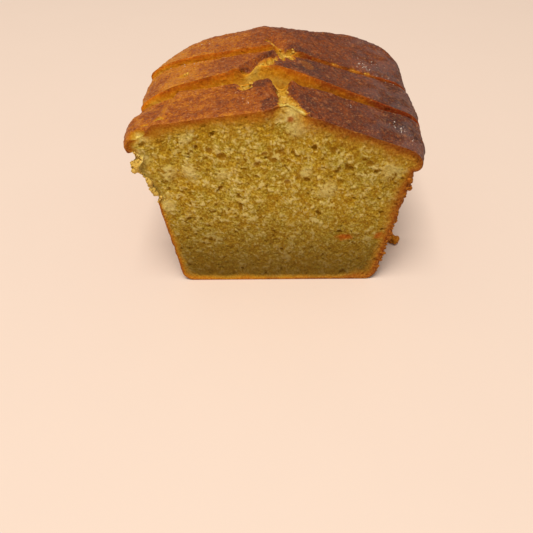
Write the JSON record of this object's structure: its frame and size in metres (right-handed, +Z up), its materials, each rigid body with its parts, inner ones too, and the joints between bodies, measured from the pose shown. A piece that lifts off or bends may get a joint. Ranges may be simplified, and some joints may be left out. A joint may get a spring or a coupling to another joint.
{
  "type": "pound cake loaf",
  "caption": "Pound cake loaf, part cut: slices stand in place before the uncut end, with a split, mushroomed crown over tapered tin-baked sides.",
  "frame": {"origin": "middle of the loaf's underside, on the surface it stands on", "axes": "+X across the loaf to the right as seen from the cut face, +Y along the loaf from the cut face to the far end, +Z up"},
  "size_m": [0.133, 0.111, 0.0991],
  "materials": {
    "cut_crumb": "matte open crumb with a thin brown crust",
    "light_crust": "satin golden-brown crust",
    "dark_crust": "satin dark brown crust"
  },
  "bodies": {
    "root": {"slice_front": "cut_crumb", "slice_second": "light_crust", "loaf_end": "dark_crust"}
  },
  "joints": []
}
